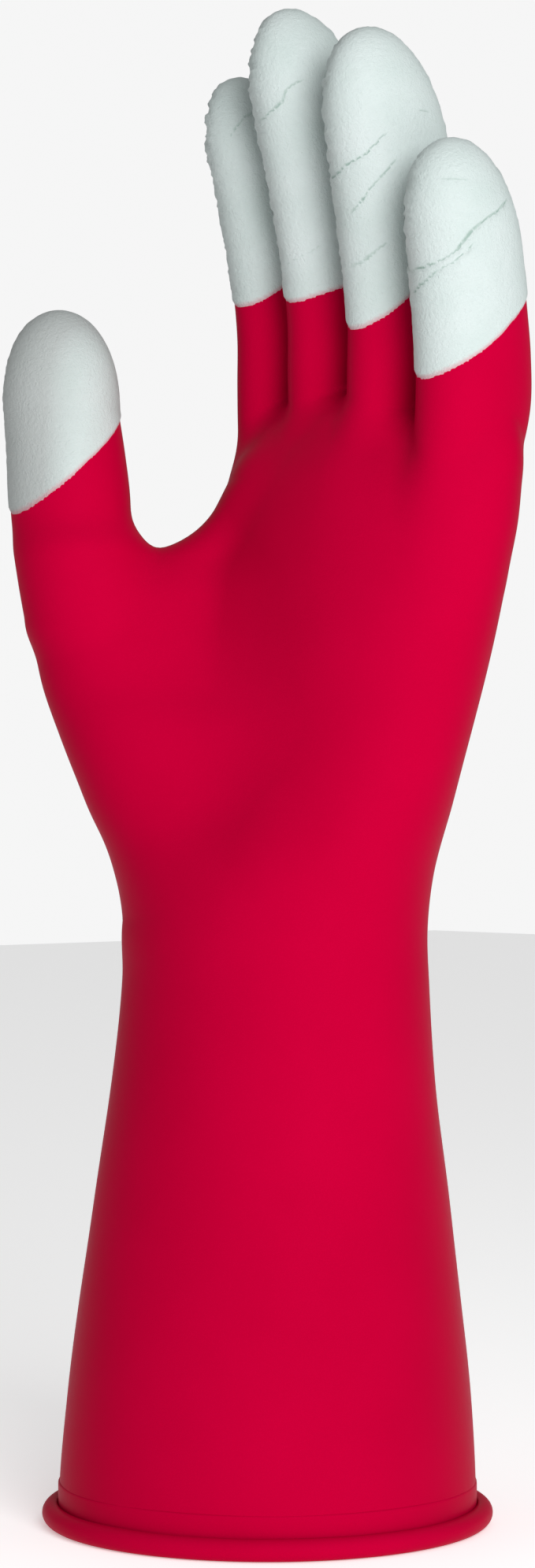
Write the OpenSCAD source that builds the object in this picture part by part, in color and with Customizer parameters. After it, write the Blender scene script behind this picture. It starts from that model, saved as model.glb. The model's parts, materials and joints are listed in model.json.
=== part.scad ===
// Electrical insulating glove for the left hand: a dipped rubber gauntlet with a rolled
// cuff and a rough grip coat on the end of each finger.
//
// Millimetres. +Z is up, the palm faces -Y, the thumb is on the -X side and the little
// finger on the +X side. The origin is the centre of the cuff opening, on the surface
// that the glove stands on. The rubber is one skin of two plies. It is cut into segments
// at its flex lines, and a soft flex ring fills each cut.

/* [Cuff] */
// Outer radius of the sleeve wall at the cuff
cuff_r = 54.8; // [45:0.1:66]
// Height of the thicker band above the cuff edge
band_h = 11; // [8:0.5:16]
// How far the band stands out from the sleeve wall
band_step = 0.3; // [0.2:0.05:0.8]
// Diameter of the rolled bead
bead_d = 5.8; // [4:0.1:8]

/* [Sleeve] */
// Height of the wrist bend above the cuff edge
sleeve_len = 156; // [120:1:200]
// Width of the wrist, thumb side to little finger side
wrist_w = 88; // [72:0.5:106]
// Depth of the wrist, palm to back
wrist_t = 73; // [60:0.5:88]

/* [Hand] */
// Height from the wrist bend to the fork between the middle fingers
hand_len = 146; // [120:1:176]
// Width across the four knuckles
palm_w = 102; // [84:0.5:124]
// Depth of the palm at its middle, palm to back
palm_t = 52; // [43:0.5:63]
// Length of the middle finger above its fork
finger_len = 96; // [80:1:116]
// Length of the thumb above its fork
thumb_len = 65; // [54:1:78]

/* [Rubber] */
// Thickness of the outer ply
outer_ply = 1.2; // [0.9:0.05:1.5]
// Thickness of the inner ply
inner_ply = 1.0; // [0.8:0.05:1.25]
// Thickness of the grip coat on the finger ends
coat_t = 0.7; // [0.5:0.05:0.9]

/* [Flex lines] */
// Greatest bend of the wrist, either way
wrist_bend = 30; // [20:1:36]
// Greatest bend of a finger at its root, toward the palm
knuckle_bend = 45; // [30:1:50]
// Greatest bend of a finger at its middle, toward the palm
finger_bend = 50; // [30:1:55]
// Greatest bend of a finger toward its back
back_bend = 10; // [5:1:12]
// Greatest swing of the thumb over the palm, at its root and at its middle
thumb_in = 22; // [15:1:26]
// Greatest swing of the thumb away from the palm
thumb_out = 12; // [8:1:16]

/* [Hidden] */

// Colours of the rubber and of the grip coat
red = [0.73, 0.01, 0.19];
red_lining = [0.62, 0.02, 0.15];
mint = [0.82, 0.88, 0.87];

// Depths below the outer surface: ply_gap parts the plies, and the lining ends at wall
ply_gap = 0.05;
lining_top = outer_ply + ply_gap;
wall = lining_top + inner_ply;
// Height of the open cut left at the axis of a flex line, and the play of its flex ring
slit = 0.8;
play = 0.06;
// The narrowest strip of coat left where its edge runs into a flex line
least_strip = 0.8;
// Points round a sleeve ring, a palm ring and a finger ring
around = 40;
palm_around = 24;
finger_around = 20;
// How deep a finger's stub runs into the palm below its root, and how much it narrows
stub_depth = 14;
stub_taper = 5;
// Rings between the ends of a finger tip
tip_rings = 7;

// The hand's outline is drawn at a palm width of 102, a palm depth of 52 and a hand
// length of 146, and these take it to the sizes above.
hand_x = palm_w / 102;
hand_y = palm_t / 52;
hand_z = hand_len / 146;

// Sleeve rings: share of the sleeve length, shares of the way from cuff to wrist in
// width and in depth
sleeve_rings = [
  [0.00, 0.00, 0.00], [0.16, 0.15, 0.11], [0.32, 0.37, 0.27],
  [0.50, 0.64, 0.48], [0.72, 0.88, 0.78], [0.90, 0.98, 0.96], [1.00, 1.00, 1.00]
];
wrist_x = 2;
wrist_y = 1;

// Palm rings above the wrist bend: height, centre x and y, half width, half depth
palm_rings = [
  [24, 4, 4.5, 44.9, 33.5], [34, 6, 8, 46, 31], [57, 10, 13, 47.3, 28],
  [78, 14, 15, 49.3, 26.8], [99, 17, 17, 50.5, 25.6], [116, 19, 18.5, 51, 23.5],
  [130, 20, 20, 50.6, 20.3], [138, 18.5, 21, 47.5, 16.5], [145, 7, 22.5, 33, 10.5]
];
// Height of the heel of the hand above the wrist bend, where the wrist's outline ends
heel_h = 12.5;
// Rings of the ball of the thumb, in the same form
ball_rings = [
  [14, -6, -8, 26, 21], [34, -22, -18, 24, 21], [57, -33, -22.5, 22.5, 20],
  [78, -40.5, -26.5, 19, 18.4], [96, -45.5, -28, 17, 17.4]
];
// Rings of the web between thumb and palm, in the same form
web_rings = [
  [62, -26, -8, 20, 15], [88, -33, -10, 14, 12], [100, -29, -5, 9, 8], [108, -22, 3, 8.5, 9],
  [120, -12, 10, 8, 10]
];

// Fingers, thumb first: root centre x and y, height of the root, lean of the tip in x and
// y, tip above the fork level as a share of finger_len, half width, half depth, height of
// the dome, heights of the two flex lines, and height of the coat's edge where y is 0
fork_z = sleeve_len + hand_len;
thumb_fork_z = sleeve_len + 100 * hand_z;
function up(h) = sleeve_len + h * hand_z;
function tip_at(share) = fork_z + share * finger_len;
// A flex line's height, given at a finger length of 96, moves with the finger
function above_fork(h) = fork_z + h * finger_len / 96;
function above_thumb_fork(h) = thumb_fork_z + h * thumb_len / 65;
fingers = [
  [-45.5, -28, up(94), -6, -3, thumb_fork_z + thumb_len - coat_t, 16.2, 16.2, 26,
    above_thumb_fork(14), above_thumb_fork(38), above_thumb_fork(46)],
  [-18.8, 24.5, up(130), -8.5, -12, tip_at(0.863), 11.3, 14.4, 28,
    above_fork(12), above_fork(39), above_fork(11)],
  [5, 23.5, up(130), -2.5, -17, tip_at(1) + 0.3, 12, 16.8, 31,
    above_fork(12), above_fork(41), above_fork(12)],
  [30.5, 22, up(130), 3, -17, tip_at(0.908), 12.3, 17.6, 31,
    above_fork(12), above_fork(40), above_fork(5)],
  [56.5, 20, up(122), 5.5, -12.5, tip_at(0.578), 12.2, 16.2, 28,
    above_fork(2), above_fork(27), above_fork(-5)]
];
thumb = 0;
index = 1;
middle = 2;
ring = 3;
pinky = 4;
// Slope of the coat's edge, which is lower on the palm side
coat_slope = 0.85;
// How a finger curls: its centre line leaves the straight as this power of its height
curl = 2.1;

// ---- Surface of a finger ----

// Centre of finger f's ring at height z
function axis_x(f, z) = hand_x * (f[0] + f[3] * pow(rise(f, z), curl));
function axis_y(f, z) = hand_y * (f[1] + f[4] * pow(rise(f, z), curl));
function rise(f, z) = max(0, (z - f[2]) / (f[5] - f[2]));
// Share of the full width left at height z on the surface that lies d inside the outer one
function dome_share(f, d, z) =
  let(s = f[5] - d - z, h = f[8] - d)
  s >= h ? 1 : sqrt(max(0, 1 - pow(1 - s / h, 2)));
// Point of that surface in direction a at height z
function on_finger(f, d, a, z) =
  let(k = dome_share(f, d, z))
  [axis_x(f, z) + (f[6] * hand_x - d) * k * cos(a), axis_y(f, z) + (f[7] * hand_y - d) * k * sin(a), z];

// Half height of the cut at a flex line, q in front of its axis, for a bend of fore
// degrees to the front and aft degrees to the back
function half_cut(q, fore, aft) = slit / 2 + max(q * tan(fore / 2), -q * tan(aft / 2));
// Height of the cut's edge on finger f at its flex line number line, side 1 above or -1
// below. A finger bends toward -Y. The thumb swings along X.
function cut_z(f, d, a, line, side) =
  let(z = f[9 + line], p = on_finger(f, d, a, z))
  f == fingers[thumb]
    ? z + side * half_cut(p.x - axis_x(f, z), thumb_in, thumb_out)
    : z + side * half_cut(axis_y(f, z) - p.y, line == 0 ? knuckle_bend : finger_bend, back_bend);
// Height of the coat's edge
function edge_z(f, a) = f[11] + coat_slope * on_finger(f, 0, a, f[10]).y;

function lerp(a, b, t) = a + (b - a) * t;
function around_angles(n) = [for (j = [0:n - 1]) 360 * j / n];
function finger_angles() = around_angles(finger_around);

// ---- Shells from rings of points ----

// Faces of a shell between an outer and an inner stack of rings, n points to a ring and m
// rings to a stack, closed at the bottom, and at the top too unless capped
function side_faces(n, m, base, flip) = [
  for (i = [0:m - 2], j = [0:n - 1])
    let(a = base + i * n + j, b = base + i * n + (j + 1) % n)
    each flip ? [[a, b, b + n], [a, b + n, a + n]] : [[a, b + n, b], [a, a + n, b + n]]
];
function end_faces(n, low, high, flip) = [
  for (j = [0:n - 1])
    let(a = low + j, b = low + (j + 1) % n, c = high + (j + 1) % n, d = high + j)
    each flip ? [[a, c, b], [a, d, c]] : [[a, b, c], [a, c, d]]
];
function cap_faces(n, low, apex, flip) = [
  for (j = [0:n - 1]) flip ? [low + j, low + (j + 1) % n, apex] : [low + j, apex, low + (j + 1) % n]
];

module open_shell(outer, inner) {
  n = len(outer[0]);
  m = len(outer);
  points = [for (r = concat(outer, inner)) each r];
  polyhedron(points, concat(
    side_faces(n, m, 0, false),
    side_faces(n, m, n * m, true),
    end_faces(n, 0, n * m, false),
    end_faces(n, n * (m - 1), n * (2 * m - 1), true)
  ));
}

module capped_shell(outer, inner, outer_apex, inner_apex) {
  n = len(outer[0]);
  m = len(outer);
  points = concat([for (r = concat(outer, inner)) each r], [outer_apex, inner_apex]);
  polyhedron(points, concat(
    side_faces(n, m, 0, false),
    side_faces(n, m, n * m, true),
    end_faces(n, 0, n * m, false),
    cap_faces(n, n * (m - 1), 2 * n * m, false),
    cap_faces(n, n * (2 * m - 1), 2 * n * m + 1, true)
  ));
}

// Convex solid round two rings of points
module between(low, high) {
  points = concat(low, high);
  hull() polyhedron(points, [for (i = [0:len(points) - 3]) [i, i + 1, i + 2]]);
}

// Rings of finger f on the surface d inside, from heights low to heights high
function finger_rings(f, d, low, high, m) = [
  for (i = [0:m])
    [for (j = [0:finger_around - 1]) on_finger(f, d, finger_angles()[j], lerp(low[j], high[j], i / m))]
];
// Rings from heights low to the tip, closer together near it
function tip_stack(f, d, low) = [
  for (i = [0:tip_rings - 1])
    [for (j = [0:finger_around - 1])
      on_finger(f, d, finger_angles()[j], lerp(low[j], f[5] - d, sin(90 * i / tip_rings)))]
];
function apex(f, d) = [axis_x(f, f[5] - d), axis_y(f, f[5] - d), f[5] - d];

// ---- Finger pieces ----

// Edges of a cut, all round, with the gap given
function cut_edge(f, d, line, side, gap) = [for (a = finger_angles()) cut_z(f, d, a, line, side) + gap];

// The ply of finger f between its two flex lines, from depth d0 to depth d1
module lower_ply(f, d0, d1) {
  open_shell(
    finger_rings(f, d0, cut_edge(f, d0, 0, 1, 0), cut_edge(f, d0, 1, -1, 0), 2),
    finger_rings(f, d1, cut_edge(f, d1, 0, 1, 0), cut_edge(f, d1, 1, -1, 0), 2)
  );
}

// The ply of finger f above its second flex line, closed at the tip
module upper_ply(f, d0, d1) {
  capped_shell(
    tip_stack(f, d0, cut_edge(f, d0, 1, 1, 0)),
    tip_stack(f, d1, cut_edge(f, d1, 1, 1, 0)),
    apex(f, d0), apex(f, d1)
  );
}

// The soft ring that fills a flex line through both plies
module flex_ring(f, line) {
  open_shell(
    finger_rings(f, 0, cut_edge(f, 0, line, -1, play), cut_edge(f, 0, line, 1, -play), 1),
    finger_rings(f, wall, cut_edge(f, wall, line, -1, play), cut_edge(f, wall, line, 1, -play), 1)
  );
}

// Heights where the coat starts below and above the second flex line
function coat_low(f) = [
  for (a = finger_angles())
    min(max(edge_z(f, a), cut_z(f, 0, a, 0, 1) + play), cut_z(f, 0, a, 1, -1) - least_strip)
];
function coat_high(f) = [for (a = finger_angles()) max(edge_z(f, a), cut_z(f, 0, a, 1, 1))];

module coat_edge(f) {
  top = cut_edge(f, 0, 1, -1, 0);
  open_shell(
    finger_rings(f, -ply_gap - coat_t, coat_low(f), top, 1),
    finger_rings(f, -ply_gap, coat_low(f), top, 1)
  );
}

module coat(f) {
  capped_shell(
    tip_stack(f, -ply_gap - coat_t, coat_high(f)),
    tip_stack(f, -ply_gap, coat_high(f)),
    apex(f, -ply_gap - coat_t), apex(f, -ply_gap)
  );
}

// ---- Cuff and sleeve ----

bead_r = bead_d / 2;
// The bead is pressed against the sleeve wall, and its underside is flat
bead_x = cuff_r + band_step + bead_r * 0.45;
bead_z = bead_r * 0.94;

module cuff_bead() {
  color(red)
    rotate_extrude($fn = 96)
      difference() {
        translate([bead_x, bead_z])
          circle(bead_r, $fn = 32);
        translate([0, -bead_d])
          square([cuff_r + band_step, 3 * bead_d]);
        translate([0, -bead_d])
          square([2 * cuff_r, bead_d]);
      }
}

module cuff_band() {
  color(red)
    rotate_extrude($fn = 96)
      translate([cuff_r - wall, 0])
        square([wall + band_step, band_h]);
}

function sleeve_share(t, column) = lookup(t, [for (r = sleeve_rings) [r[0], r[column]]]);
function on_sleeve(d, a, z) =
  let(t = (z - band_h) / (sleeve_len - band_h))
  [wrist_x * t + (lerp(cuff_r, wrist_w / 2, sleeve_share(t, 1)) - d) * cos(a),
    wrist_y * t + (lerp(cuff_r, wrist_t / 2, sleeve_share(t, 2)) - d) * sin(a), z];
// Height of the edge of the wrist's cut, side 1 above or -1 below
function wrist_cut(d, a, side) =
  sleeve_len + side * half_cut(wrist_y - on_sleeve(d, a, sleeve_len).y, wrist_bend, wrist_bend);

function sleeve_stack(d) = [
  for (r = sleeve_rings)
    [for (a = around_angles(around)) on_sleeve(d, a, lerp(band_h, wrist_cut(d, a, -1), r[0]))]
];
module sleeve_ply(d0, d1) {
  open_shell(sleeve_stack(d0), sleeve_stack(d1));
}

module sleeve_outer() {
  color(red)
    sleeve_ply(0, outer_ply);
}

module sleeve_inner() {
  color(red_lining)
    sleeve_ply(lining_top, wall);
}

function wrist_stack(d) = [
  for (side = [-1, 1])
    [for (a = around_angles(around))
      let(z = wrist_cut(d, a, side) - side * play, p = on_sleeve(d, a, min(z, sleeve_len)))
      [p.x, p.y, z]]
];
module wrist_flex() {
  color(red)
    open_shell(wrist_stack(0), wrist_stack(wall));
}

// ---- Palm ----

function hand_ring(r, d, dz) = [
  for (a = around_angles(palm_around))
    [hand_x * r[1] + (hand_x * r[3] - d) * cos(a), hand_y * r[2] + (hand_y * r[4] - d) * sin(a), up(r[0]) + dz]
];

// Solid through a list of rings, its top d lower, and its bottom higher by lift
module hand_stack(rings, d, lift) {
  last = len(rings) - 2;
  for (i = [0:last])
    between(hand_ring(rings[i], d, i == 0 ? lift : 0), hand_ring(rings[i + 1], d, i == last ? -d : 0));
}

// The stub of finger f from deep in the palm to its first flex line, run on by extra
// above it
module stub(f, d, extra) {
  deep = [for (a = finger_angles()) on_finger(f, d + stub_taper, a, f[2] - stub_depth + d)];
  root = [for (a = finger_angles()) on_finger(f, d, a, f[2])];
  edge = [for (a = finger_angles()) on_finger(f, d, a, cut_z(f, d, a, 0, -1) + extra)];
  between(concat(deep, root), edge);
}

// The hand up to the flex lines, on the surface that lies d inside the outer one, run on
// by extra through the open ends
module hand_solid(d, extra) {
  outline = [for (a = around_angles(around)) on_sleeve(d, a, sleeve_len)];
  edge = [for (j = [0:around - 1]) [outline[j].x, outline[j].y, wrist_cut(d, 360 * j / around, 1) - extra]];
  heel = [for (p = outline) [p.x, p.y, up(heel_h)]];
  between(edge, heel);
  between(heel, hand_ring(palm_rings[0], d, 0));
  hand_stack(palm_rings, d, 0);
  hand_stack(ball_rings, d, d);
  hand_stack(web_rings, d, d);
  for (f = fingers)
    stub(f, d, extra);
}

module palm_ply(d0, d1) {
  difference() {
    hand_solid(d0, 0);
    hand_solid(d1, 2);
  }
}

module palm_outer() {
  color(red)
    palm_ply(0, outer_ply);
}

module palm_inner() {
  color(red_lining)
    palm_ply(lining_top, wall);
}

// ---- Fingers, one module a piece ----

module root_flex(f) color(red) flex_ring(f, 0);
module lower(f) color(red) lower_ply(f, 0, outer_ply);
module lower_lining(f) color(red_lining) lower_ply(f, lining_top, wall);
module coat_rim(f) color(mint) coat_edge(f);
module bend_flex(f) color(red) flex_ring(f, 1);
module upper(f) color(red) upper_ply(f, 0, outer_ply);
module upper_lining(f) color(red_lining) upper_ply(f, lining_top, wall);
module tip_coat(f) color(mint) coat(f);

cuff_bead();
cuff_band();
sleeve_outer();
sleeve_inner();
wrist_flex();
palm_outer();
palm_inner();
root_flex(fingers[thumb]);  // thumb_root_flex
root_flex(fingers[index]);  // index_root_flex
root_flex(fingers[middle]);  // middle_root_flex
root_flex(fingers[ring]);  // ring_root_flex
root_flex(fingers[pinky]);  // pinky_root_flex
lower(fingers[thumb]);  // thumb_lower
lower(fingers[index]);  // index_lower
lower(fingers[middle]);  // middle_lower
lower(fingers[ring]);  // ring_lower
lower(fingers[pinky]);  // pinky_lower
lower_lining(fingers[thumb]);  // thumb_lower_lining
lower_lining(fingers[index]);  // index_lower_lining
lower_lining(fingers[middle]);  // middle_lower_lining
lower_lining(fingers[ring]);  // ring_lower_lining
lower_lining(fingers[pinky]);  // pinky_lower_lining
coat_rim(fingers[thumb]);  // thumb_coat_edge
coat_rim(fingers[index]);  // index_coat_edge
coat_rim(fingers[middle]);  // middle_coat_edge
coat_rim(fingers[ring]);  // ring_coat_edge
coat_rim(fingers[pinky]);  // pinky_coat_edge
bend_flex(fingers[thumb]);  // thumb_bend_flex
bend_flex(fingers[index]);  // index_bend_flex
bend_flex(fingers[middle]);  // middle_bend_flex
bend_flex(fingers[ring]);  // ring_bend_flex
bend_flex(fingers[pinky]);  // pinky_bend_flex
upper(fingers[thumb]);  // thumb_upper
upper(fingers[index]);  // index_upper
upper(fingers[middle]);  // middle_upper
upper(fingers[ring]);  // ring_upper
upper(fingers[pinky]);  // pinky_upper
upper_lining(fingers[thumb]);  // thumb_upper_lining
upper_lining(fingers[index]);  // index_upper_lining
upper_lining(fingers[middle]);  // middle_upper_lining
upper_lining(fingers[ring]);  // ring_upper_lining
upper_lining(fingers[pinky]);  // pinky_upper_lining
tip_coat(fingers[thumb]);  // thumb_coat
tip_coat(fingers[index]);  // index_coat
tip_coat(fingers[middle]);  // middle_coat
tip_coat(fingers[ring]);  // ring_coat
tip_coat(fingers[pinky]);  // pinky_coat
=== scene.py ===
# %% [markdown]
# # An electrical insulating glove
#
# A long rubber glove for the left hand stands on its rolled cuff. A former was dipped in
# crimson latex several times, and the finger ends got one more dip in a pale grip coat
# that wrinkled as it dried. The frame gives the bodies, the joints and the sizes. Here
# the skin becomes one smooth surface, with no corners where the fingers leave the palm.

# %% Load the frame
import json
import math

import bmesh
import bpy
import numpy as np
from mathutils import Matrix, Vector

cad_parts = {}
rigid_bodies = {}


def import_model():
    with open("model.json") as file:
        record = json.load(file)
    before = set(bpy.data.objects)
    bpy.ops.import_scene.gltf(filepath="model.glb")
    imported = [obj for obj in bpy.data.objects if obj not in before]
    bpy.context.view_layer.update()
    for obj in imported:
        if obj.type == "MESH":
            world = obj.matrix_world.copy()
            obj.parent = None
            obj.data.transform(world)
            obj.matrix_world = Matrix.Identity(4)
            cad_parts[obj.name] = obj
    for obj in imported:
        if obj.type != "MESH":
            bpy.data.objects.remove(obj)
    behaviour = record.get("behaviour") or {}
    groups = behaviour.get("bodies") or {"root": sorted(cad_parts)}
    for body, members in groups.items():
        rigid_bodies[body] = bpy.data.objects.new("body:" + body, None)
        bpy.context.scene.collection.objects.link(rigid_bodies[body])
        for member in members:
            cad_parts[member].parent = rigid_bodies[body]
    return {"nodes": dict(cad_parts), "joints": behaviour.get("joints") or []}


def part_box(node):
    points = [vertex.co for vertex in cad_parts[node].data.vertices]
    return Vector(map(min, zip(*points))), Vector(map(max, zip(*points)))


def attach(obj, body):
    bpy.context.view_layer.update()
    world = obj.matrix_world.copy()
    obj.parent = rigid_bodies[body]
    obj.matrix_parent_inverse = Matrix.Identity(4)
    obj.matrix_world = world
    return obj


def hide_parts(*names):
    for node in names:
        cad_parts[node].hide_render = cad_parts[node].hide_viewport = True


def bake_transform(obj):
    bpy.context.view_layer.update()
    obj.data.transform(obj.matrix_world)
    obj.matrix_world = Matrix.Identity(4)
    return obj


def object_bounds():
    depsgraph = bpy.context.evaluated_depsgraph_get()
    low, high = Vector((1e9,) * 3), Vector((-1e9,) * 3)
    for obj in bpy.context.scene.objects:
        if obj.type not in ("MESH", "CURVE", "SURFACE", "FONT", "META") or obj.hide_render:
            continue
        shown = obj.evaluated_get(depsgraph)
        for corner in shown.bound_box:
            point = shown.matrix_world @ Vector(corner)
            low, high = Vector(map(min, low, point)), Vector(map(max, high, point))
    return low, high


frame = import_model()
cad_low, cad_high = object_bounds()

import openvdb
from mathutils import Vector

MM = 0.001
FINGERS = ("thumb", "index", "middle", "ring", "pinky")
pivots = {j["name"]: np.array(j["pos_m"]) / MM for j in frame["joints"]}
print("joints:", len(pivots), "nodes:", len(frame["nodes"]))

# %% [markdown]
# ## Plan the shape as a stack of ovals
#
# Every part of the glove stands more or less upright, so each one can be told as ovals at
# a few heights: a centre, a half width and a half depth. A smooth curve through those
# numbers gives the oval at any height. The trunk runs from the cuff to the knuckles. The
# ball of the thumb and the web beside it are short stacks that melt into it.

# %% Ovals of the trunk, the ball of the thumb and the web, in millimetres
# Each row is: height, centre x, centre y, half width, half depth. Below the cuff's band the
# trunk goes on a little, so that its lower end is an even cylinder.
TRUNK = np.array([
    (-12, 0, 0, 54.8, 54.8), (11, 0, 0, 54.8, 54.8), (34, 0.3, 0.2, 53.2, 52.8),
    (57, 0.6, 0.3, 50.8, 49.9), (84, 1, 0.5, 47.9, 45.8), (115, 1.4, 0.7, 45.2, 40.5),
    (141, 1.8, 0.9, 44.1, 37.2), (156, 2, 1, 43.8, 36.3), (170, 3, 2.6, 44.2, 35),
    (190, 6, 8, 46, 31), (213, 10, 13, 47.3, 28), (234, 14, 15, 49.2, 26.6),
    (255, 17, 17, 50.3, 25.2), (266, 18.4, 18.2, 50.6, 24), (276, 20, 19, 49.9, 21.8),
    (285, 22, 20, 48.5, 18), (291, 22.6, 20.2, 46.5, 14.5), (295, 22.8, 20.5, 43.4, 10.5),
    (297.5, 22.8, 20.8, 40, 6),
])
# The half ovals that close the upper and the lower end of each stack
TRUNK_ENDS = (2, 7)
BALL_ENDS = (9, 12)
WEB_ENDS = (6, 12)
FINGER_FOOT = 8
BALL = np.array([
    (158, -8, -5, 22, 18), (172, -15.3, -11, 22.3, 19), (184, -20.6, -15.5, 22.4, 19.4),
    (196, -25.6, -18.5, 21.4, 19.2), (208, -31.3, -20.6, 20.2, 18.6), (220, -37.3, -22.4, 18.8, 18),
    (232, -40.2, -24.4, 17.4, 17.2), (244, -41.5, -26.4, 16, 16.4), (254, -41.2, -27.8, 14.2, 16),
])
WEB = np.array([
    (214, -26, -8, 16, 12), (242, -30, -8.5, 11, 9), (253.6, -26, -3.5, 7, 6),
    (261.8, -19, 4.5, 6.2, 6.8), (275.2, -9, 11.5, 6, 8),
])


def ovals_at(rows, z):
    """The oval at height z, by a smooth curve through the rows."""
    heights = rows[:, 0]
    zc = np.clip(z, heights[0], heights[-1])
    k = np.clip(np.searchsorted(heights, zc) - 1, 0, len(rows) - 2)
    step = heights[k + 1] - heights[k]
    t = (zc - heights[k]) / step
    found = []
    for column in range(1, rows.shape[1]):
        values = rows[:, column]
        slope = np.gradient(values, heights)
        found.append(
            (2 * t**3 - 3 * t**2 + 1) * values[k] + (t**3 - 2 * t**2 + t) * step * slope[k]
            + (3 * t**2 - 2 * t**3) * values[k + 1] + (t**3 - t**2) * step * slope[k + 1]
        )
    return found


# A round end has 2 here, and a blunter one has more
BLUNT = 2.35


def stack_field(rows, x, y, z, top, bottom, lean=(0, 0)):
    """How far outside a stack of ovals a point is. Half ovals this high close its ends."""
    cx, cy, half_x, half_y = ovals_at(rows, z)
    low, high = rows[0, 0], rows[-1, 0]
    cx = cx + lean[0] * np.maximum(z - high, 0)
    cy = cy + lean[1] * np.maximum(z - high, 0)
    over = np.maximum(z - high, 0) / top + np.maximum(low - z, 0) / bottom
    beyond = np.maximum(z - high, 0) + np.maximum(low - z, 0)
    share = np.sqrt(((x - cx) / half_x) ** 2 + ((y - cy) / half_y) ** 2 + over**BLUNT) + 1e-6
    length = np.sqrt((x - cx) ** 2 + (y - cy) ** 2 + beyond**2)
    return length - (length + 1e-6 * half_x) / share


def smooth_step(low, high, value):
    t = np.clip((value - low) / (high - low), 0, 1)
    return t * t * (3 - 2 * t)


def melt(a, b, radius):
    """The union of two fields, with a fillet of about that radius."""
    h = np.clip(0.5 + 0.5 * (b - a) / radius, 0, 1)
    return b * (1 - h) + a * h - radius * h * (1 - h)


# %% [markdown]
# ## Take each finger from the frame
#
# A finger's two hinges and its tip say where it runs, and its flex ring says how wide it
# is, so the finger follows the CAD model by itself. It leaves the knuckle straight and
# curls forward more and more, as a hand at rest does.

# %% Ovals of the fingers
# Height of the rounded end above the finger's highest oval
DOME = {"thumb": 26, "index": 27, "middle": 30, "ring": 31, "pinky": 27}
# How much thinner a finger is at these heights above its hinge; the lowest are in the palm
ROOT_SINK = ((-55, 5.0), (-32, 2.0), (-12, 0.3), (0, 0.4))
THUMB_SINK = ((-32, 3.3), (-12, 0.9), (0, 0.4))
FINGER_SINK = 0.4
# The curl starts this far below the hinge
CURL_START = 18
# How its curl grows with height, and how far each root gathers sideways inside the palm
CURL = 2.1
GATHER = {"thumb": 8, "index": 0, "middle": 0, "ring": -1.5, "pinky": -5.4}
# How far a root moves to the back or to the palm side inside the palm
THUMB_BACK = 2
FINGER_FORTH = 3
# Half width and depth added at the finger's pad, and its shift, in millimetres
PAD = {
    "thumb": (-0.7, -0.7, -1.2, -0.8), "index": (0.2, 0.5, 0.2, 0.0), "middle": (0.3, 0.7, -0.6, -0.6),
    "ring": (0.2, 0.5, -0.2, -0.4), "pinky": (0, 0.1, 0, 0),
}
# Half width and depth added at the finger's root, and its shift, in millimetres
ROOT = {
    "thumb": (0.2, 0.2, -0.8, -0.6), "index": (0, 0, 0, 0), "middle": (0, 0, 0, 0),
    "ring": (0, 0, 0, 0), "pinky": (0.5, 0.6, 0.7, 0.3),
}


def tip_point(finger):
    """The highest point of the finger's skin, in millimetres."""
    mesh = frame["nodes"][finger + "_upper"].data
    co = np.empty(len(mesh.vertices) * 3)
    mesh.vertices.foreach_get("co", co)
    co = co.reshape(-1, 3) / MM
    return co[co[:, 2].argmax()]


def finger_rows(finger):
    """The ovals of one finger, from inside the palm up to where its rounded end starts."""
    root = pivots[finger + "_root_bend"]
    low, high = (np.array(corner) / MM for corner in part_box(finger + "_root_flex"))
    half_x, half_y = (high - low)[:2] / 2
    tip = tip_point(finger)
    start = root[2] - CURL_START
    dome_z = tip[2] - DOME[finger]
    root_share = ((root[2] - start) / (tip[2] - start)) ** CURL
    root_fit, pad_fit = np.array(ROOT[finger]), np.array(PAD[finger])
    rows = []
    sinks = THUMB_SINK if finger == "thumb" else ROOT_SINK
    for rise, sunk in (*sinks, ((dome_z - root[2]) / 2, FINGER_SINK), (dome_z - root[2], FINGER_SINK)):
        z = root[2] + rise
        share = max(0, (z - start) / (tip[2] - start)) ** CURL
        along = (share - root_share) / (1 - root_share)
        centre = root[:2] + (tip[:2] - root[:2]) * along
        pad = min(1, max(0, (z - root[2]) / (dome_z - root[2])))
        wide, deep, across, forth = root_fit * (1 - pad) + pad_fit * pad
        across += GATHER[finger] * smooth_step(-8, -58, rise)
        forth += (THUMB_BACK if finger == "thumb" else -FINGER_FORTH) * smooth_step(0, -55, rise)
        rows.append((
            z, centre[0] + across, centre[1] + forth, half_x - sunk + wide, half_y - sunk + deep,
        ))
    return np.array(rows)


# The rounded end leans on a little more than the finger below it, but the thumb's hardly does
LEAN_ON = 1.25
THUMB_LEAN = 0.2


def lean_of(rows):
    """How far the finger's centre moves sideways and forward per millimetre at its end."""
    return (rows[-1, 1:3] - rows[-2, 1:3]) / (rows[-1, 0] - rows[-2, 0]) * LEAN_ON


fingers = {finger: finger_rows(finger) for finger in FINGERS}
leans = {finger: lean_of(rows) for finger, rows in fingers.items()}
leans["thumb"] *= THUMB_LEAN
for finger, rows in fingers.items():
    ends = np.round(rows[0], 1), np.round(rows[-1], 1)
    print(finger, "from", ends[0], "to", ends[1], "lean", np.round(leans[finger], 2))

# %% [markdown]
# ## Melt the stacks into one skin
#
# Each stack gives a field: below zero inside, above zero outside. Melting two fields gives
# the fillet that a dipped glove has everywhere, because latex cannot keep a sharp corner.
# The fingers melt into the palm with a wide fillet and into each other hardly at all, so
# they stay apart down to their forks.

# %% The field of the whole skin
FINGER_FILLET = 6
FORK_FILLET = 1.0
THUMB_FILLET = 9
WEB_FILLET = 15
# The ball's fillet is narrow at its ends and wide in the middle
BALL_FILLET = (16, 44)
# The knuckle line falls by this much toward the little finger
KNUCKLE_FALL = 8


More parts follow.
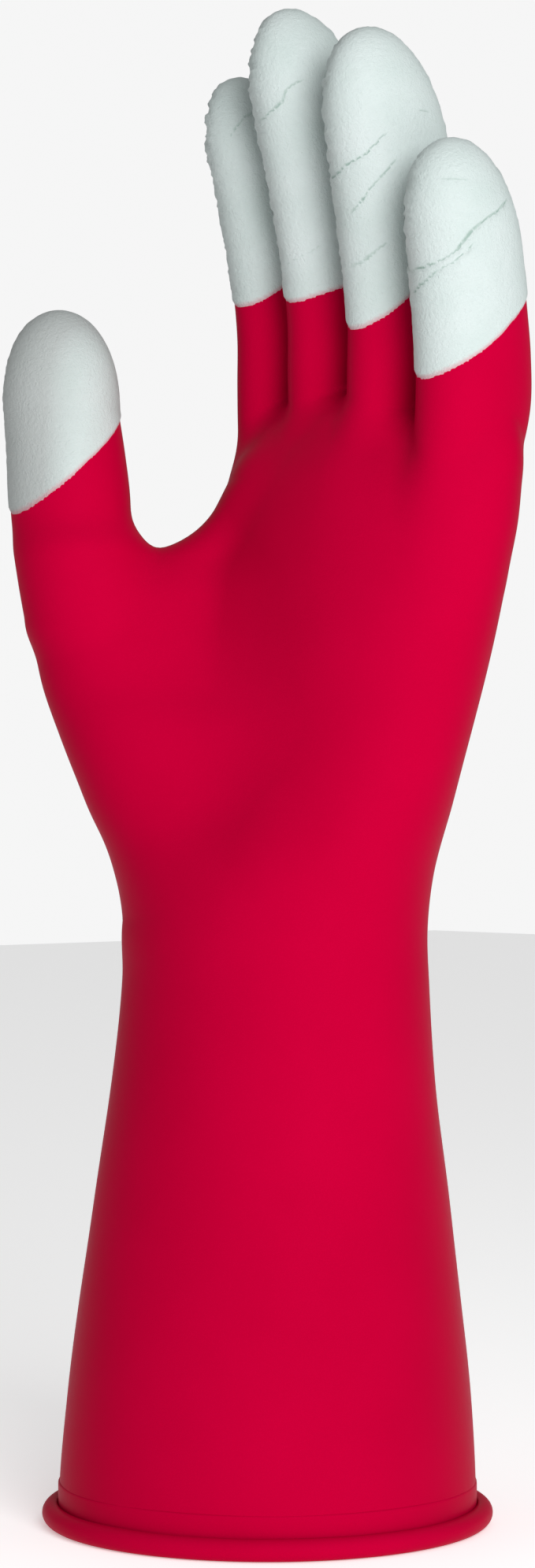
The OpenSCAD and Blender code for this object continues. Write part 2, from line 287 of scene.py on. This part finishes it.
def finger_field(finger, x, y, z):
    """How far outside one finger a point is."""
    return stack_field(fingers[finger], x, y, z, DOME[finger], FINGER_FOOT, leans[finger])


def skin_field(x, y, z):
    """How far outside the whole glove's skin a point is, in millimetres."""
    fallen = z + KNUCKLE_FALL * smooth_step(24, 50, x) * smooth_step(225, 290, z)
    skin = stack_field(TRUNK, x, y, fallen, *TRUNK_ENDS)
    widest = smooth_step(180, 215, z) * smooth_step(278, 244, z)
    ball_fillet = BALL_FILLET[0] + (BALL_FILLET[1] - BALL_FILLET[0]) * widest
    skin = melt(skin, stack_field(BALL, x, y, z, *BALL_ENDS), ball_fillet)
    skin = melt(skin, stack_field(WEB, x, y, z, *WEB_ENDS), WEB_FILLET)
    skin = melt(skin, finger_field("thumb", x, y, z), THUMB_FILLET)
    four = None
    for finger in FINGERS[1:]:
        one = finger_field(finger, x, y, z)
        four = one if four is None else melt(four, one, FORK_FILLET)
    return melt(skin, four, FINGER_FILLET)


def slope_of(points, reach=0.25):
    """The field's slope at some points."""
    slope = np.empty_like(points)
    for axis in range(3):
        step = np.zeros(3)
        step[axis] = reach
        ahead = skin_field(*(points + step).T)
        behind = skin_field(*(points - step).T)
        slope[:, axis] = (ahead - behind) / (2 * reach)
    return slope


def surface(low, high, cell):
    """Points, outward directions and four-sided faces of the skin inside a box."""
    low = np.array(low, float)
    counts = np.ceil((np.array(high) - low) / cell).astype(int) + 1
    x, y, z = (low[i] + cell * np.arange(counts[i]) for i in range(3))
    values = skin_field(x[:, None, None], y[None, :, None], z[None, None, :]).astype(np.float32)
    grid = openvdb.FloatGrid(100.0)
    grid.copyFromArray(values)
    points, quads = grid.convertToQuads(isovalue=0.0)
    points = points.astype(float) * cell + low
    for _ in range(3):
        slope = slope_of(points)
        points -= slope * (skin_field(*points.T) / (slope**2).sum(1))[:, None]
    slope = slope_of(points)
    outward = slope / np.linalg.norm(slope, axis=1)[:, None]
    a, b, c = (points[quads[:, i]] for i in range(3))
    facing = (np.cross(b - a, c - a) * outward[quads[:, 0]]).sum(1)
    if np.median(facing) < 0:
        quads = quads[:, ::-1]
    return points, outward, quads.astype(np.int64)


# The grid reaches this far past the CAD model, and this far below the floor
EDGE = 8
FOOT_Z = -4
SKIN_CELL, LINING_CELL, COAT_CELL = 1.3, 2.4, 0.8
cad_box = [np.array(corner) / MM for corner in (cad_low, cad_high)]
skin_box = (*(cad_box[0][:2] - EDGE), FOOT_Z), cad_box[1] + EDGE
skin = surface(*skin_box, SKIN_CELL)
print("skin:", len(skin[0]), "points", len(skin[2]), "faces")

# %% [markdown]
# ## Decide which piece each face belongs to
#
# The real glove is one skin, but it bends in eleven places. The skin is cut just outside
# each place that bends, where it no longer turns, so that the cut never opens. Above the
# forks a face belongs to the finger whose own field is lowest there.

# %% Regions of the skin
REGIONS = ["sleeve", "hand"] + [f + part for f in FINGERS for part in ("_root", "_end")]
# How far above and below a hinge the skin turns
WRIST_REACH = 17
ROOT_REACH = 11
BEND_REACH = 12
bend_z = {}
seam_z = {}
for finger in FINGERS:
    root, bend = pivots[finger + "_root_bend"][2], pivots[finger + "_middle_bend"][2]
    bend_z[finger] = (root, bend)
    seam_z[finger] = (root - ROOT_REACH, (root + ROOT_REACH + bend - BEND_REACH) / 2)
wrist_z = pivots["wrist_bend"][2]
# The plane through the thumb's fork: its direction, and how far it stands from the thumb
FORK_ACROSS = np.array([0.62, 0.78])
FORK_PLACE = 17.8


def region_of(points):
    """The number of the region that each point of the skin belongs to."""
    x, y, z = points.T
    nearest = np.array([finger_field(finger, x, y, z) for finger in FINGERS]).argmin(0)
    thumb_side = (points[:, :2] - pivots["thumb_root_bend"][:2]) @ FORK_ACROSS < FORK_PLACE
    found = np.where(z < wrist_z + WRIST_REACH + 1, 0, 1)
    for k, finger in enumerate(FINGERS):
        mine = (nearest == k) & (thumb_side == (finger == "thumb"))
        for part in (0, 1):
            found[mine & (z > seam_z[finger][part])] = 2 + 2 * k + part
    return found


skin_region = region_of(skin[0][skin[2]].mean(1))
for number, region in enumerate(REGIONS):
    print(region, (skin_region == number).sum(), "faces")

# %% [markdown]
# ## Give the skin its thickness
#
# Two plies of rubber are two shells, one inside the other. A shell is the surface pushed
# out or in along its own directions, the same surface pushed less far and turned over,
# and a strip that closes the rim.

# %% Make shells
made = {}


def smooth_mesh(name, points, faces, outward):
    """A mesh object from metres, with shading that follows the surface's true directions."""
    mesh = bpy.data.meshes.new(name)
    mesh.from_pydata(points.tolist(), [], faces.tolist())
    mesh.shade_smooth()
    mesh.normals_split_custom_set_from_vertices(outward.tolist())
    obj = bpy.data.objects.new(name, mesh)
    bpy.context.scene.collection.objects.link(obj)
    made[name] = obj
    return obj


def shell(name, shape, keep, outer, inner):
    """A closed shell over some faces of a surface, between two distances in millimetres."""
    points, outward, quads = shape
    quads = quads[keep]
    used, flat = np.unique(quads, return_inverse=True)
    quads = flat.reshape(-1, 4)
    points, outward = points[used], outward[used]
    outer, inner = (np.broadcast_to(d, len(shape[0]))[used][:, None] for d in (outer, inner))
    sides = np.concatenate([quads[:, [i, (i + 1) % 4]] for i in range(4)])
    once = {tuple(side) for side in sides.tolist()}
    rim = np.array([(a, b) for a, b in once if (b, a) not in once], int).reshape(-1, 2)
    count = len(points)
    strip = np.column_stack((rim[:, 1], rim[:, 0], rim[:, 0] + count, rim[:, 1] + count))
    everywhere = np.concatenate((points + outward * outer, points + outward * inner)) * MM
    faces = np.concatenate((quads, quads[:, ::-1] + count, strip))
    return smooth_mesh(name, everywhere, faces, np.concatenate((outward, -outward)))


def hang(obj, region, slot, *replaced):
    """Put a hand piece on the hand's body, fix any other piece where it stands, and hide the CAD nodes
    it copies.
    """
    if region == "hand":
        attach(obj, "hand")
    else:
        if region == "sleeve":
            a, b, middle, reach = "gauntlet", "hand", wrist_z, WRIST_REACH
        elif region.endswith("_root"):
            finger = region[:-5]
            a, b, middle, reach = "hand", finger + "_base", bend_z[finger][0], ROOT_REACH
        else:
            finger = region[:-4]
            a, b, middle, reach = finger + "_base", finger + "_tip", bend_z[finger][1], BEND_REACH
        (middle - reach) * MM
        (middle + reach) * MM
        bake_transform(obj)
    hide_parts(*replaced)


def ply(prefix, shape, numbers, lowest, outer, inner, slot, nodes_of):
    """One shell for each region of the skin above a height, between two distances."""
    high_enough = shape[0][shape[2]].mean(1)[:, 2] > lowest
    faces = 0
    for number, region in enumerate(REGIONS):
        piece = shell(prefix + region, shape, (numbers == number) & high_enough, outer, inner)
        hang(piece, region, slot, *nodes_of[region])
        faces += len(piece.data.polygons)
    print(prefix + "pieces:", faces, "faces")


# %% [markdown]
# The outer ply is the first coat of rubber, 1.2 mm thick. A dipped skin is never quite
# even, so slow waves swell and sink it by a tenth of a millimetre or two.

# %% The outer ply
OUTER_PLY = 1.2
PLY_GAP = 0.05
LINING = 1.0
CUFF_TOP = 11
WAVE_HEIGHT = 0.12
NODES_OF = {"sleeve": ["sleeve_outer", "wrist_flex"], "hand": ["palm_outer"]}
LINING_NODES_OF = {"sleeve": ["sleeve_inner"], "hand": ["palm_inner"]}
for finger in FINGERS:
    NODES_OF[finger + "_root"] = [finger + "_root_flex", finger + "_lower"]
    NODES_OF[finger + "_end"] = [finger + "_bend_flex", finger + "_upper"]
    LINING_NODES_OF[finger + "_root"] = [finger + "_lower_lining"]
    LINING_NODES_OF[finger + "_end"] = [finger + "_upper_lining"]


def waves_at(points):
    """How far the dipped skin swells or sinks, in millimetres, by slow and even waves."""
    x, y, z = points.T
    across = np.sin(0.11 * x + 0.07 * z + 1.3) * np.sin(0.09 * y - 0.05 * z + 0.4)
    return (across + 0.6 * np.sin(0.05 * x - 0.12 * y + 0.031 * z + 2.2)) * WAVE_HEIGHT


waves = waves_at(skin[0])
ply("skin_", skin, skin_region, CUFF_TOP - 0.4, waves, waves - OUTER_PLY, "red_rubber", NODES_OF)

# %% [markdown]
# The lining shows only when someone looks into the cuff, so a coarser grid is enough.

# %% The inner ply
coarse = surface(*skin_box, LINING_CELL)
coarse_region = region_of(coarse[0][coarse[2]].mean(1))
lining_out = -OUTER_PLY - PLY_GAP - WAVE_HEIGHT
ply(
    "lining_", coarse, coarse_region, CUFF_TOP + 0.5, lining_out, lining_out - LINING,
    "lining_rubber", LINING_NODES_OF,
)

# %% [markdown]
# ## Wrinkle the grip coat
#
# The coat was wiped thin while it set, so it dried with three kinds of relief: a few long
# ridges across the pads, short crinkles down the palm side of each finger, and a fine
# plaster-like grain toward the tips. Each is a height added to the coat's thickness, so
# it shows in the outline too.

# %% The relief of the coat
COAT = 0.5
# Heights of the crinkles, of the grain, of the grain added toward the tip, and of the flakes
CRINKLE, GRAIN_LOW, GRAIN_HIGH, FLAKE = 0.46, 0.035, 0.06, 0.35
# The thumb's coat is smoother than the others
THUMB_ROUGH = 0.35
# How deep the relief and the ridges may cut, so that some coat always covers the rubber
DEEPEST, RIDGE_DEEPEST = -0.22, -0.2
# Height of the dip line on each finger at x = y = 0, and its rise per millimetre along x and y
DIP = {
    "thumb": (317.8, 0.27, 0.86), "index": (315.2, 0, 0.8), "middle": (318.3, 0, 0.5),
    "ring": (308.9, 0, 0.9), "pinky": (294.9, 0, 0.8),
}
# Each ridge runs between two points of the pad, in millimetres, and stands this high
RIDGES = [
    ("pinky", (57, 0, 322.5), (69, 19.5, 342), 0.42),
    ("pinky", (55.5, 1, 317), (69.5, 8.5, 330), 0.4),
    ("ring", (28, -1.5, 348), (42.5, 4.5, 360), 0.45),
    ("ring", (33.5, 0, 340), (42.5, 7.5, 354), 0.35),
    ("ring", (31.5, 2, 326.5), (39.5, 6, 333.5), 0.25),
    ("ring", (43.5, 9.5, 367), (41, 16, 366), 0.3),
    ("middle", (1.5, -2.5, 367), (12, 2.5, 378), 0.35),
    ("middle", (4, 4.5, 329.5), (12.5, 8.5, 335.5), 0.22),
    ("index", (-19.5, 4.5, 367), (-14, 9, 374), 0.3),
    ("pinky", (65, 0, 345.5), (69.5, 7, 343.5), 0.25),
    ("thumb", (-47, -45, 290), (-38, -41, 297), 0.12),
]
LATTICE_SIDE = 32
LATTICE = np.random.default_rng(7).random((LATTICE_SIDE,) * 3) * 2 - 1


def noise(points, size, shift=0.0):
    """Smooth random values from -1 to 1, with bumps about this many millimetres wide."""
    places = points / np.asarray(size) + shift
    base = np.floor(places).astype(int)
    part = places - base
    part = part * part * (3 - 2 * part)
    total = np.zeros(len(points))
    for corner in range(8):
        step = np.array([corner & 1, corner >> 1 & 1, corner >> 2])
        weight = np.where(step, part, 1 - part).prod(1)
        total += weight * LATTICE[tuple(((base + step) % LATTICE_SIDE).T)]
    return total * 1.6


def ridge_height(points, outward, start, end, height):
    """A narrow ridge that runs over the skin from start to end."""
    start, end = np.array(start, float), np.array(end, float)
    along = end - start
    length = np.linalg.norm(along)
    along /= length
    middle = (start + end) / 2
    near = np.linalg.norm(points - middle, axis=1) < 0.9 * length
    facing = outward[near][np.linalg.norm(points[near] - middle, axis=1).argmin()]
    across = np.cross(along, facing)
    across /= np.linalg.norm(across)
    offset = points - start
    distance = offset @ across + 0.8 * noise(points, 6, 3.3) + 0.15 * noise(points, 1.6, 1.7)
    share = offset @ along / length
    inside = smooth_step(-0.04, 0.06, share) * smooth_step(1.06, 0.9, share) * (offset @ facing > -12)
    sharp = 1.25 * np.exp(-((distance / 0.42) ** 2)) - 0.6 * np.exp(-(((distance + 0.9) / 0.5) ** 2))
    return height * sharp * inside * (0.9 + 0.2 * noise(points, 3, 5.1))


def relief(finger, points, outward):
    """How much the coat stands above its even thickness, in millimetres."""
    x, y, z = points.T
    low, high = seam_z[finger][1], fingers[finger][-1, 0] + DOME[finger]
    palm_side = smooth_step(0.45, 0.9, -0.72 * outward[:, 1] - 0.6 * outward[:, 0])
    upper = smooth_step(low + 10, high - 18, z)
    rough = THUMB_ROUGH if finger == "thumb" else 1.0
    crinkle = noise(points, (3.2, 3.2, 1.3), 0.5) + 0.6 * noise(points, (1.6, 1.6, 0.9), 2.5)
    height = CRINKLE * crinkle * palm_side * (0.45 + 0.55 * upper)
    height *= smooth_step(low - 12, low + 4, z)
    grain = noise(points, 1.5, 7.5) + 0.5 * noise(points, 0.9, 4.5)
    height += grain * (GRAIN_LOW + GRAIN_HIGH * upper)
    flake = np.maximum(noise(points, (4, 4, 3), 9.1) - 0.45, 0) * FLAKE
    height += flake * (0.3 * palm_side + 0.7 * upper)
    height = np.maximum(height * rough, DEEPEST)
    ridges = np.zeros(len(points))
    for name, start, end, tall in RIDGES:
        if name == finger:
            ridges += ridge_height(points, outward, start, end, tall)
    return height + np.maximum(ridges, RIDGE_DEEPEST), ridges


# %% [markdown]
# A coat starts a hair inside the rubber and rises to its full thickness within a
# millimetre of the dip line, so its rim is the thin edge that a real dip leaves.

# %% The grip coats
# The coat's underside lies this deep in the rubber, and its rim starts this deep
COAT_UNDER = 0.16
RIM_START = 0.1


def store(obj, name, values):
    """Keep one number per point on the mesh, for its material."""
    obj.data.attributes.new(name, "FLOAT", "POINT").data.foreach_set("value", values.astype(np.float32))


def coat_piece(name, shape, keep, outer, bare, ridges):
    """A shell of coat that remembers where it is thin and where its ridges are."""
    piece = shell(name, shape, keep, outer, -COAT_UNDER)
    used = np.unique(shape[2][keep])
    store(piece, "bare", np.tile(bare[used], 2))
    store(piece, "ridges", np.tile(ridges[used], 2))
    return piece


def coat_box(finger):
    """A box round the part of a finger that lies above its dip line, in millimetres."""
    rows = fingers[finger]
    reach = rows[-1, 3:5] + 5
    ends = np.array([rows[2, 1:3], rows[-1, 1:3], rows[-1, 1:3] + leans[finger] * DOME[finger]])
    level, rise_x, rise_y = DIP[finger]
    low_z = min(
        level + rise_x * px + rise_y * py
        for px in (ends[:, 0].min() - 12, ends[:, 0].max() + 12)
        for py in (ends[:, 1].min() - 15, ends[:, 1].max() + 15)
    ) - 2
    low = (*(ends.min(0) - reach), max(low_z, seam_z[finger][0] - 8))
    return low, (*(ends.max(0) + reach), rows[-1, 0] + DOME[finger] + 3)


for finger in FINGERS:
    shape = surface(*coat_box(finger), COAT_CELL)
    points, outward, quads = shape
    level, rise_x, rise_y = DIP[finger]
    x, y, z = points.T
    slope = math.sqrt(1 + rise_x**2 + rise_y**2)
    ragged = 0.05 * noise(points, 2.5, 1.1) + 0.25 * noise(points, 9, 8.2)
    above = (z - level - rise_x * x - rise_y * y) / slope + ragged
    fade = smooth_step(0.3, 4, above)
    height, ridges = (values * fade for values in relief(finger, points, outward))
    rise = (COAT + RIM_START) * smooth_step(-0.4, 0.9, above)
    outer = waves_at(points) - RIM_START + rise + height
    bare = smooth_step(0.9, 0, above)
    middle = points[quads].mean(1)
    covered = above[quads].max(1) > -0.5
    region = region_of(middle)
    for part, node in (("_root", "_coat_edge"), ("_end", "_coat")):
        keep = covered & (region == REGIONS.index(finger + part))
        piece = coat_piece("coat_" + finger + part, shape, keep, outer, bare, ridges)
        hang(piece, finger + part, "grip_coat", finger + node)
        print(piece.name, len(piece.data.polygons), "faces")

# %% [markdown]
# ## Roll the cuff
#
# The open end of the glove is a short thicker band with a rolled bead below it. Both
# follow the same circle, so each is one curve swept round another. The bead is rolled by
# hand in the factory, so its roll is a little uneven.

# %% Sweep a profile round the cuff with Geometry Nodes
class Tree:
    """A Geometry Nodes tree that is built node by node."""

    def __init__(self, name, inputs):
        self.tree = bpy.data.node_groups.new(name, "GeometryNodeTree")
        self.ids = {}
        for label, kind, value in inputs:
            socket = self.tree.interface.new_socket(label, in_out="INPUT", socket_type=kind)
            if value is not None:
                socket.default_value = value
            self.ids[label] = socket.identifier
        self.tree.interface.new_socket("Geometry", in_out="OUTPUT", socket_type="NodeSocketGeometry")
        self.start = self.tree.nodes.new("NodeGroupInput")

    def take(self, label):
        return self.start.outputs[label]

    def add(self, kind, sockets, **settings):
        node = self.tree.nodes.new(kind)
        for key, value in settings.items():
            setattr(node, key, value)
        for key, value in sockets.items():
            if isinstance(value, bpy.types.NodeSocket):
                self.tree.links.new(value, node.inputs[key])
            else:
                node.inputs[key].default_value = value
        return node.outputs[0]

    def end(self, geometry):
        last = self.tree.nodes.new("NodeGroupOutput")
        self.tree.links.new(geometry, last.inputs[0])


# How many swells of the roll fit in a metre of the cuff's edge
WAVER_SCALE = 38.0


def sweep_tree():
    """A profile curve swept round a circle, whose height and width waver a little."""
    t = Tree("cuff sweep", [
        ("Profile", "NodeSocketObject", None), ("Radius", "NodeSocketFloat", 0.05),
        ("Waver", "NodeSocketFloat", 0.0), ("Steps", "NodeSocketInt", 160),
        ("Material", "NodeSocketMaterial", None),
    ])
    ring = {"Resolution": t.take("Steps"), "Radius": t.take("Radius")}
    circle = t.add("GeometryNodeCurvePrimitiveCircle", ring)
    place = t.add("GeometryNodeInputPosition", {})
    bump_settings = {"Vector": place, "Scale": WAVER_SCALE, "Detail": 1.0}
    bumps = t.add("ShaderNodeTexNoise", bump_settings, noise_dimensions="3D")
    shifted = t.add("ShaderNodeMath", {0: bumps, 1: 0.5}, operation="SUBTRACT")
    scaled = t.add("ShaderNodeMath", {0: shifted, 1: t.take("Waver")}, operation="MULTIPLY")
    swell = t.add("ShaderNodeMath", {0: scaled, 1: 1.0}, operation="ADD")
    sized = t.add("GeometryNodeSetCurveRadius", {"Curve": circle, "Radius": swell})
    profile = t.add("GeometryNodeObjectInfo", {"Object": t.take("Profile")})
    shape = profile.node.outputs["Geometry"]
    swept = t.add("GeometryNodeCurveToMesh", {"Curve": sized, "Profile Curve": shape})
    if "Scale" in swept.node.inputs:
        t.tree.links.new(swell, swept.node.inputs["Scale"])
    soft = t.add("GeometryNodeSetShadeSmooth", {"Geometry": swept})
    real = t.add("GeometryNodeRealizeInstances", {"Geometry": soft})
    t.end(t.add("GeometryNodeSetMaterial", {"Geometry": real, "Material": t.take("Material")}))
    return t


sweep = sweep_tree()


def profile_curve(name, places):
    """A closed profile from (outward, upward) places in millimetres."""
    curve = bpy.data.curves.new(name, "CURVE")
    curve.dimensions = "3D"
    line = curve.splines.new("POLY")
    line.points.add(len(places) - 1)
    for point, (outward, upward) in zip(line.points, places):
        point.co = (outward * MM, -upward * MM, 0, 1)
    line.use_cyclic_u = True
    obj = bpy.data.objects.new(name, curve)
    bpy.context.scene.collection.objects.link(obj)
    return obj


def swept_piece(name, profile, radius, waver, material):
    """A mesh made by sweeping a profile round the cuff, with the modifier taken away."""
    mesh = bpy.data.meshes.new(name)
    carrier = bpy.data.objects.new(name + "_carrier", mesh)
    bpy.context.scene.collection.objects.link(carrier)
    modifier = carrier.modifiers.new("sweep", "NODES")
    modifier.node_group = sweep.tree
    inputs = {"Profile": profile, "Radius": radius * MM, "Waver": waver, "Material": material}
    for label, value in inputs.items():
        modifier[sweep.ids[label]] = value
    graph = bpy.context.evaluated_depsgraph_get()
    result = bpy.data.meshes.new_from_object(carrier.evaluated_get(graph))
    result.name = name
    piece = bpy.data.objects.new(name, result)
    bpy.context.scene.collection.objects.link(piece)
    bpy.data.objects.remove(carrier)
    bpy.data.objects.remove(profile)
    edit = bmesh.new()
    edit.from_mesh(result)
    bmesh.ops.remove_doubles(edit, verts=edit.verts, dist=1e-6)
    bmesh.ops.recalc_face_normals(edit, faces=edit.faces)
    edit.to_mesh(result)
    edit.free()
    made[name] = piece
    return piece


# %% [markdown]
# ## Paint the rubber and the coat
#
# The red skin is satin latex with faint cloudy variation. The coat is matt and nearly
# white, with green-grey painted shade in the grooves beside its ridges, a greyer painted
# shade on the thumb's coat, and a pink rim where it thins out over the red. A small class
# lets shader maths be written as plain sums and products.

# %% Shader values that can be added and multiplied
class Term:
    """One output of a shader tree. Arithmetic on it adds Math nodes."""

    def __init__(self, tree, socket):
        self.tree, self.socket = tree, socket

    def node(self, kind, settings, values, output=0):
        """A new node fed with numbers or other terms."""
        made_node = self.tree.nodes.new(kind)
        for key, value in settings.items():
            setattr(made_node, key, value)
        for key, value in values.items():
            if isinstance(value, Term):
                self.tree.links.new(value.socket, made_node.inputs[key])
            else:
                made_node.inputs[key].default_value = value
        return Term(self.tree, made_node.outputs[output])

    def math(self, operation, first, second=0.0, clamp=False):
        settings = {"operation": operation, "use_clamp": clamp}
        return self.node("ShaderNodeMath", settings, {0: first, 1: second})

    def __add__(self, other):
        return self.math("ADD", self, other)

    def __radd__(self, other):
        return self.math("ADD", other, self)

    def __sub__(self, other):
        return self.math("SUBTRACT", self, other)

    def __rsub__(self, other):
        return self.math("SUBTRACT", other, self)

    def __mul__(self, other):
        return self.math("MULTIPLY", self, other)

    def __rmul__(self, other):
        return self.math("MULTIPLY", other, self)

    def __truediv__(self, other):
        return self.math("DIVIDE", self, other)

    def __rtruediv__(self, other):
        return self.math("DIVIDE", other, self)

    def held(self):
        """The value kept between 0 and 1."""
        return self.math("ADD", self, 0.0, clamp=True)

    def mixed(self, first, second):
        """The first colour where the value is 0 and the second where it is 1."""
        settings = {"data_type": "RGBA", "clamp_factor": True}
        return self.node("ShaderNodeMix", settings, {0: self, 6: first, 7: second}, 2)

    def noise(self, scale, detail=2.0, roughness=0.5):
        """Noise from 0 to 1 at the place this value gives."""
        values = {"Vector": self, "Scale": scale, "Detail": detail, "Roughness": roughness}
        return self.node("ShaderNodeTexNoise", {}, values)


def new_paint(name, **constants):
    """A material, its shader, and the place on the object as a term."""
    material = bpy.data.materials.new(name)
    material.use_nodes = True
    tree = material.node_tree
    shader = tree.nodes["Principled BSDF"]
    for key, value in constants.items():
        shader.inputs[key.replace("_", " ")].default_value = value
    place = Term(tree, tree.nodes.new("ShaderNodeTexCoord").outputs["Object"])
    return material, shader, place


def plug(shader, **values):
    """Let terms drive a shader's inputs."""
    for key, value in values.items():
        value.tree.links.new(value.socket, shader.inputs[key.replace("_", " ")])


def bump(height, distance):
    """A bent normal for relief of this depth in metres."""
    values = {"Height": height, "Distance": distance, "Strength": 1.0}
    return height.node("ShaderNodeBump", {}, values)


# %% The three finishes
def rubber(name, dark, light, roughness, grain):
    """Satin latex between two reds, with relief of this depth in metres."""
    tint = (1, 0.05, 0.3, 1)
    paint, shader, place = new_paint(name, Specular_IOR_Level=0.01, Specular_Tint=tint)
    clouds = place.noise(22.0, 3.0)
    fine = place.noise(420.0, 2.0)
    pores = place.noise(1500.0, 1.0)
    plug(
        shader,
        Base_Color=(clouds * 1.6 - 0.3 + (fine - 0.5) * 0.12).held().mixed(dark, light),
        Roughness=roughness + (clouds - 0.5) * 0.1 + (fine - 0.5) * 0.06,
        Normal=bump(fine * 0.6 + pores * 0.4, grain),
    )
    return paint


red = rubber("red latex", (0.38, 0.0, 0.024, 1), (0.43, 0.0, 0.029, 1), 0.4, 0.00004)
lining = rubber("lining latex", (0.26, 0.002, 0.022, 1), (0.33, 0.003, 0.028, 1), 0.62, 0.00012)

grip, grip_shader, place = new_paint("grip coat", Specular_IOR_Level=0.35)
bare = place.node("ShaderNodeAttribute", {"attribute_name": "bare"}, {}, 2)
raised = place.node("ShaderNodeAttribute", {"attribute_name": "ridges"}, {}, 2)
stain = place.noise(60.0, 3.0)
grain = place.noise(900.0, 3.0, 0.65)
flecks = place.noise(2600.0, 1.0)
# Painted shade: the grooves beside the ridges are painted a darker green-grey
painted_groove_shade = (0.0 - raised * 7.0 - 0.35).held()
# The thumb stands furthest to the left, away from the key light, and its coat is painted greyer there
# as painted shade
side = place.node("ShaderNodeSeparateXYZ", {}, {"Vector": place}, 0)
thumb_side_shade = (0.0 - side * 150.0 - 5.0).held()
white = (stain * 1.7 - 0.35).held().mixed((0.43, 0.50, 0.485, 1), (0.50, 0.555, 0.55, 1))
# Painted shade: the coat is mixed toward grey on the left, where the thumb is
white = (thumb_side_shade * 0.8).mixed(white, (0.33, 0.345, 0.34, 1))
coat_with_groove_shade = (painted_groove_shade * 0.8).mixed(white, (0.2, 0.29, 0.25, 1))
rimmed = (bare * 0.55).mixed(coat_with_groove_shade, (0.50, 0.10, 0.15, 1))
plug(
    grip_shader,
    Base_Color=rimmed,
    Roughness=0.66 + (grain - 0.5) * 0.2,
    Normal=bump(grain * 0.7 + flecks * 0.3, 0.0004),
)

for name, obj in made.items():
    finish = grip if name.startswith("coat_") else lining if name.startswith("lining_") else red
    obj.data.materials.append(finish)
print("painted", len(made), "pieces")

# %% [markdown]
# The bead is the rolled lip that keeps the cuff from tearing, and the band above it is the
# last bit of skin that was rolled down and sealed. Both could be turned on a lathe, but a
# swept profile lets the hand-rolled bead waver a little.

# %% The bead and the band
BEAD = 2.9
BEAD_X = 56.4
BEAD_Z = 2.75
BEAD_WAVER = 0.06
CUFF_OUT = 55.1
CUFF_IN = 52.55

turns = np.radians(np.linspace(-112, 112, 29))
bead_places = [
    (max(math.cos(t) * BEAD, CUFF_OUT + 0.02 - BEAD_X), max(BEAD_Z + math.sin(t) * BEAD, 0.04))
    for t in turns
]
bead = swept_piece("bead", profile_curve("bead_profile", bead_places), BEAD_X, BEAD_WAVER, red)
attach(bead, "gauntlet")
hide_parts("cuff_bead")

band_places = [(r - CUFF_OUT, z) for r, z in (
    (CUFF_IN, 0.1), (CUFF_OUT - 0.05, 0.1), (CUFF_OUT, 0.5), (CUFF_OUT, 10.3), (CUFF_OUT - 0.06, 10.75),
    (CUFF_OUT - 0.3, 11.05), (CUFF_IN + 0.1, 11.05), (CUFF_IN, 10.8),
)]
band = swept_piece("band", profile_curve("band_profile", band_places), CUFF_OUT, 0.0, red)
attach(band, "gauntlet")
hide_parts("cuff_band")
for piece in (bead, band):
    corners = np.array([v.co for v in piece.data.vertices]) / MM
    extent = corners.min(0).round(2), corners.max(0).round(2)
    print(piece.name, len(piece.data.polygons), "faces", *extent)

# %% [markdown]
# ## Set the table and light it
#
# The glove stands on a plain pale floor. A wide soft light from the front right shapes
# the palm, and the pale surroundings fill the shade. The camera looks from the palm side,
# level with the wrist.

# %% Floor, light and camera
FLOOR_SIZE = 6
FLOOR_Z = -0.0002
bpy.ops.mesh.primitive_plane_add(size=FLOOR_SIZE, location=(0, 0, FLOOR_Z))
floor = bpy.context.object
floor.name = "floor"
# The floor glows a little, as a lit studio table seems to
floor_paint = new_paint(
    "pale floor", Base_Color=(0.94, 0.94, 0.94, 1), Roughness=0.9,
    Emission_Color=(1, 1, 1, 1), Emission_Strength=0.36,
)[0]
floor.data.materials.append(floor_paint)


def area_light(name, place, aim, size, watts):
    """A round soft light at a place, turned toward its aim."""
    data = bpy.data.lights.new(name, "AREA")
    data.shape = "DISK"
    data.size = size
    data.energy = watts
    light = bpy.data.objects.new(name, data)
    light.location = place
    light.rotation_euler = (Vector(aim) - Vector(place)).to_track_quat("-Z", "Y").to_euler()
    bpy.context.scene.collection.objects.link(light)


area_light("key", (1.25, -0.56, 0.6), (0, 0, 0.24), 0.85, 18.5)

# How bright the surroundings look, and how bright they shine on the glove
BACKDROP, FILL = 0.92, 0.4
world = bpy.data.worlds.new("studio")
world.use_nodes = True
backdrop = world.node_tree.nodes["Background"]
backdrop.inputs["Color"].default_value = (1, 1, 1, 1)
seen = Term(world.node_tree, world.node_tree.nodes.new("ShaderNodeLightPath").outputs["Is Camera Ray"])
plug(backdrop, Strength=seen * (BACKDROP - FILL) + FILL)
bpy.context.scene.world = world
bpy.context.scene.view_settings.view_transform = "Standard"

CAMERA_TURN = math.radians(48)
CAMERA_DISTANCE = 1.05
CAMERA_HEIGHT = 0.194
camera_data = bpy.data.cameras.new("camera")
camera_data.sensor_width = 36
camera_data.lens = 91.45
camera = bpy.data.objects.new("camera", camera_data)
camera.location = (
    CAMERA_DISTANCE * math.sin(CAMERA_TURN), -CAMERA_DISTANCE * math.cos(CAMERA_TURN), CAMERA_HEIGHT,
)
camera.rotation_euler = (math.pi / 2, 0, CAMERA_TURN)
bpy.context.scene.collection.objects.link(camera)
bpy.context.scene.camera = camera

# %% Write the sizes and finish
print("CAD box", [round(v / MM, 1) for v in (*cad_low, *cad_high)])
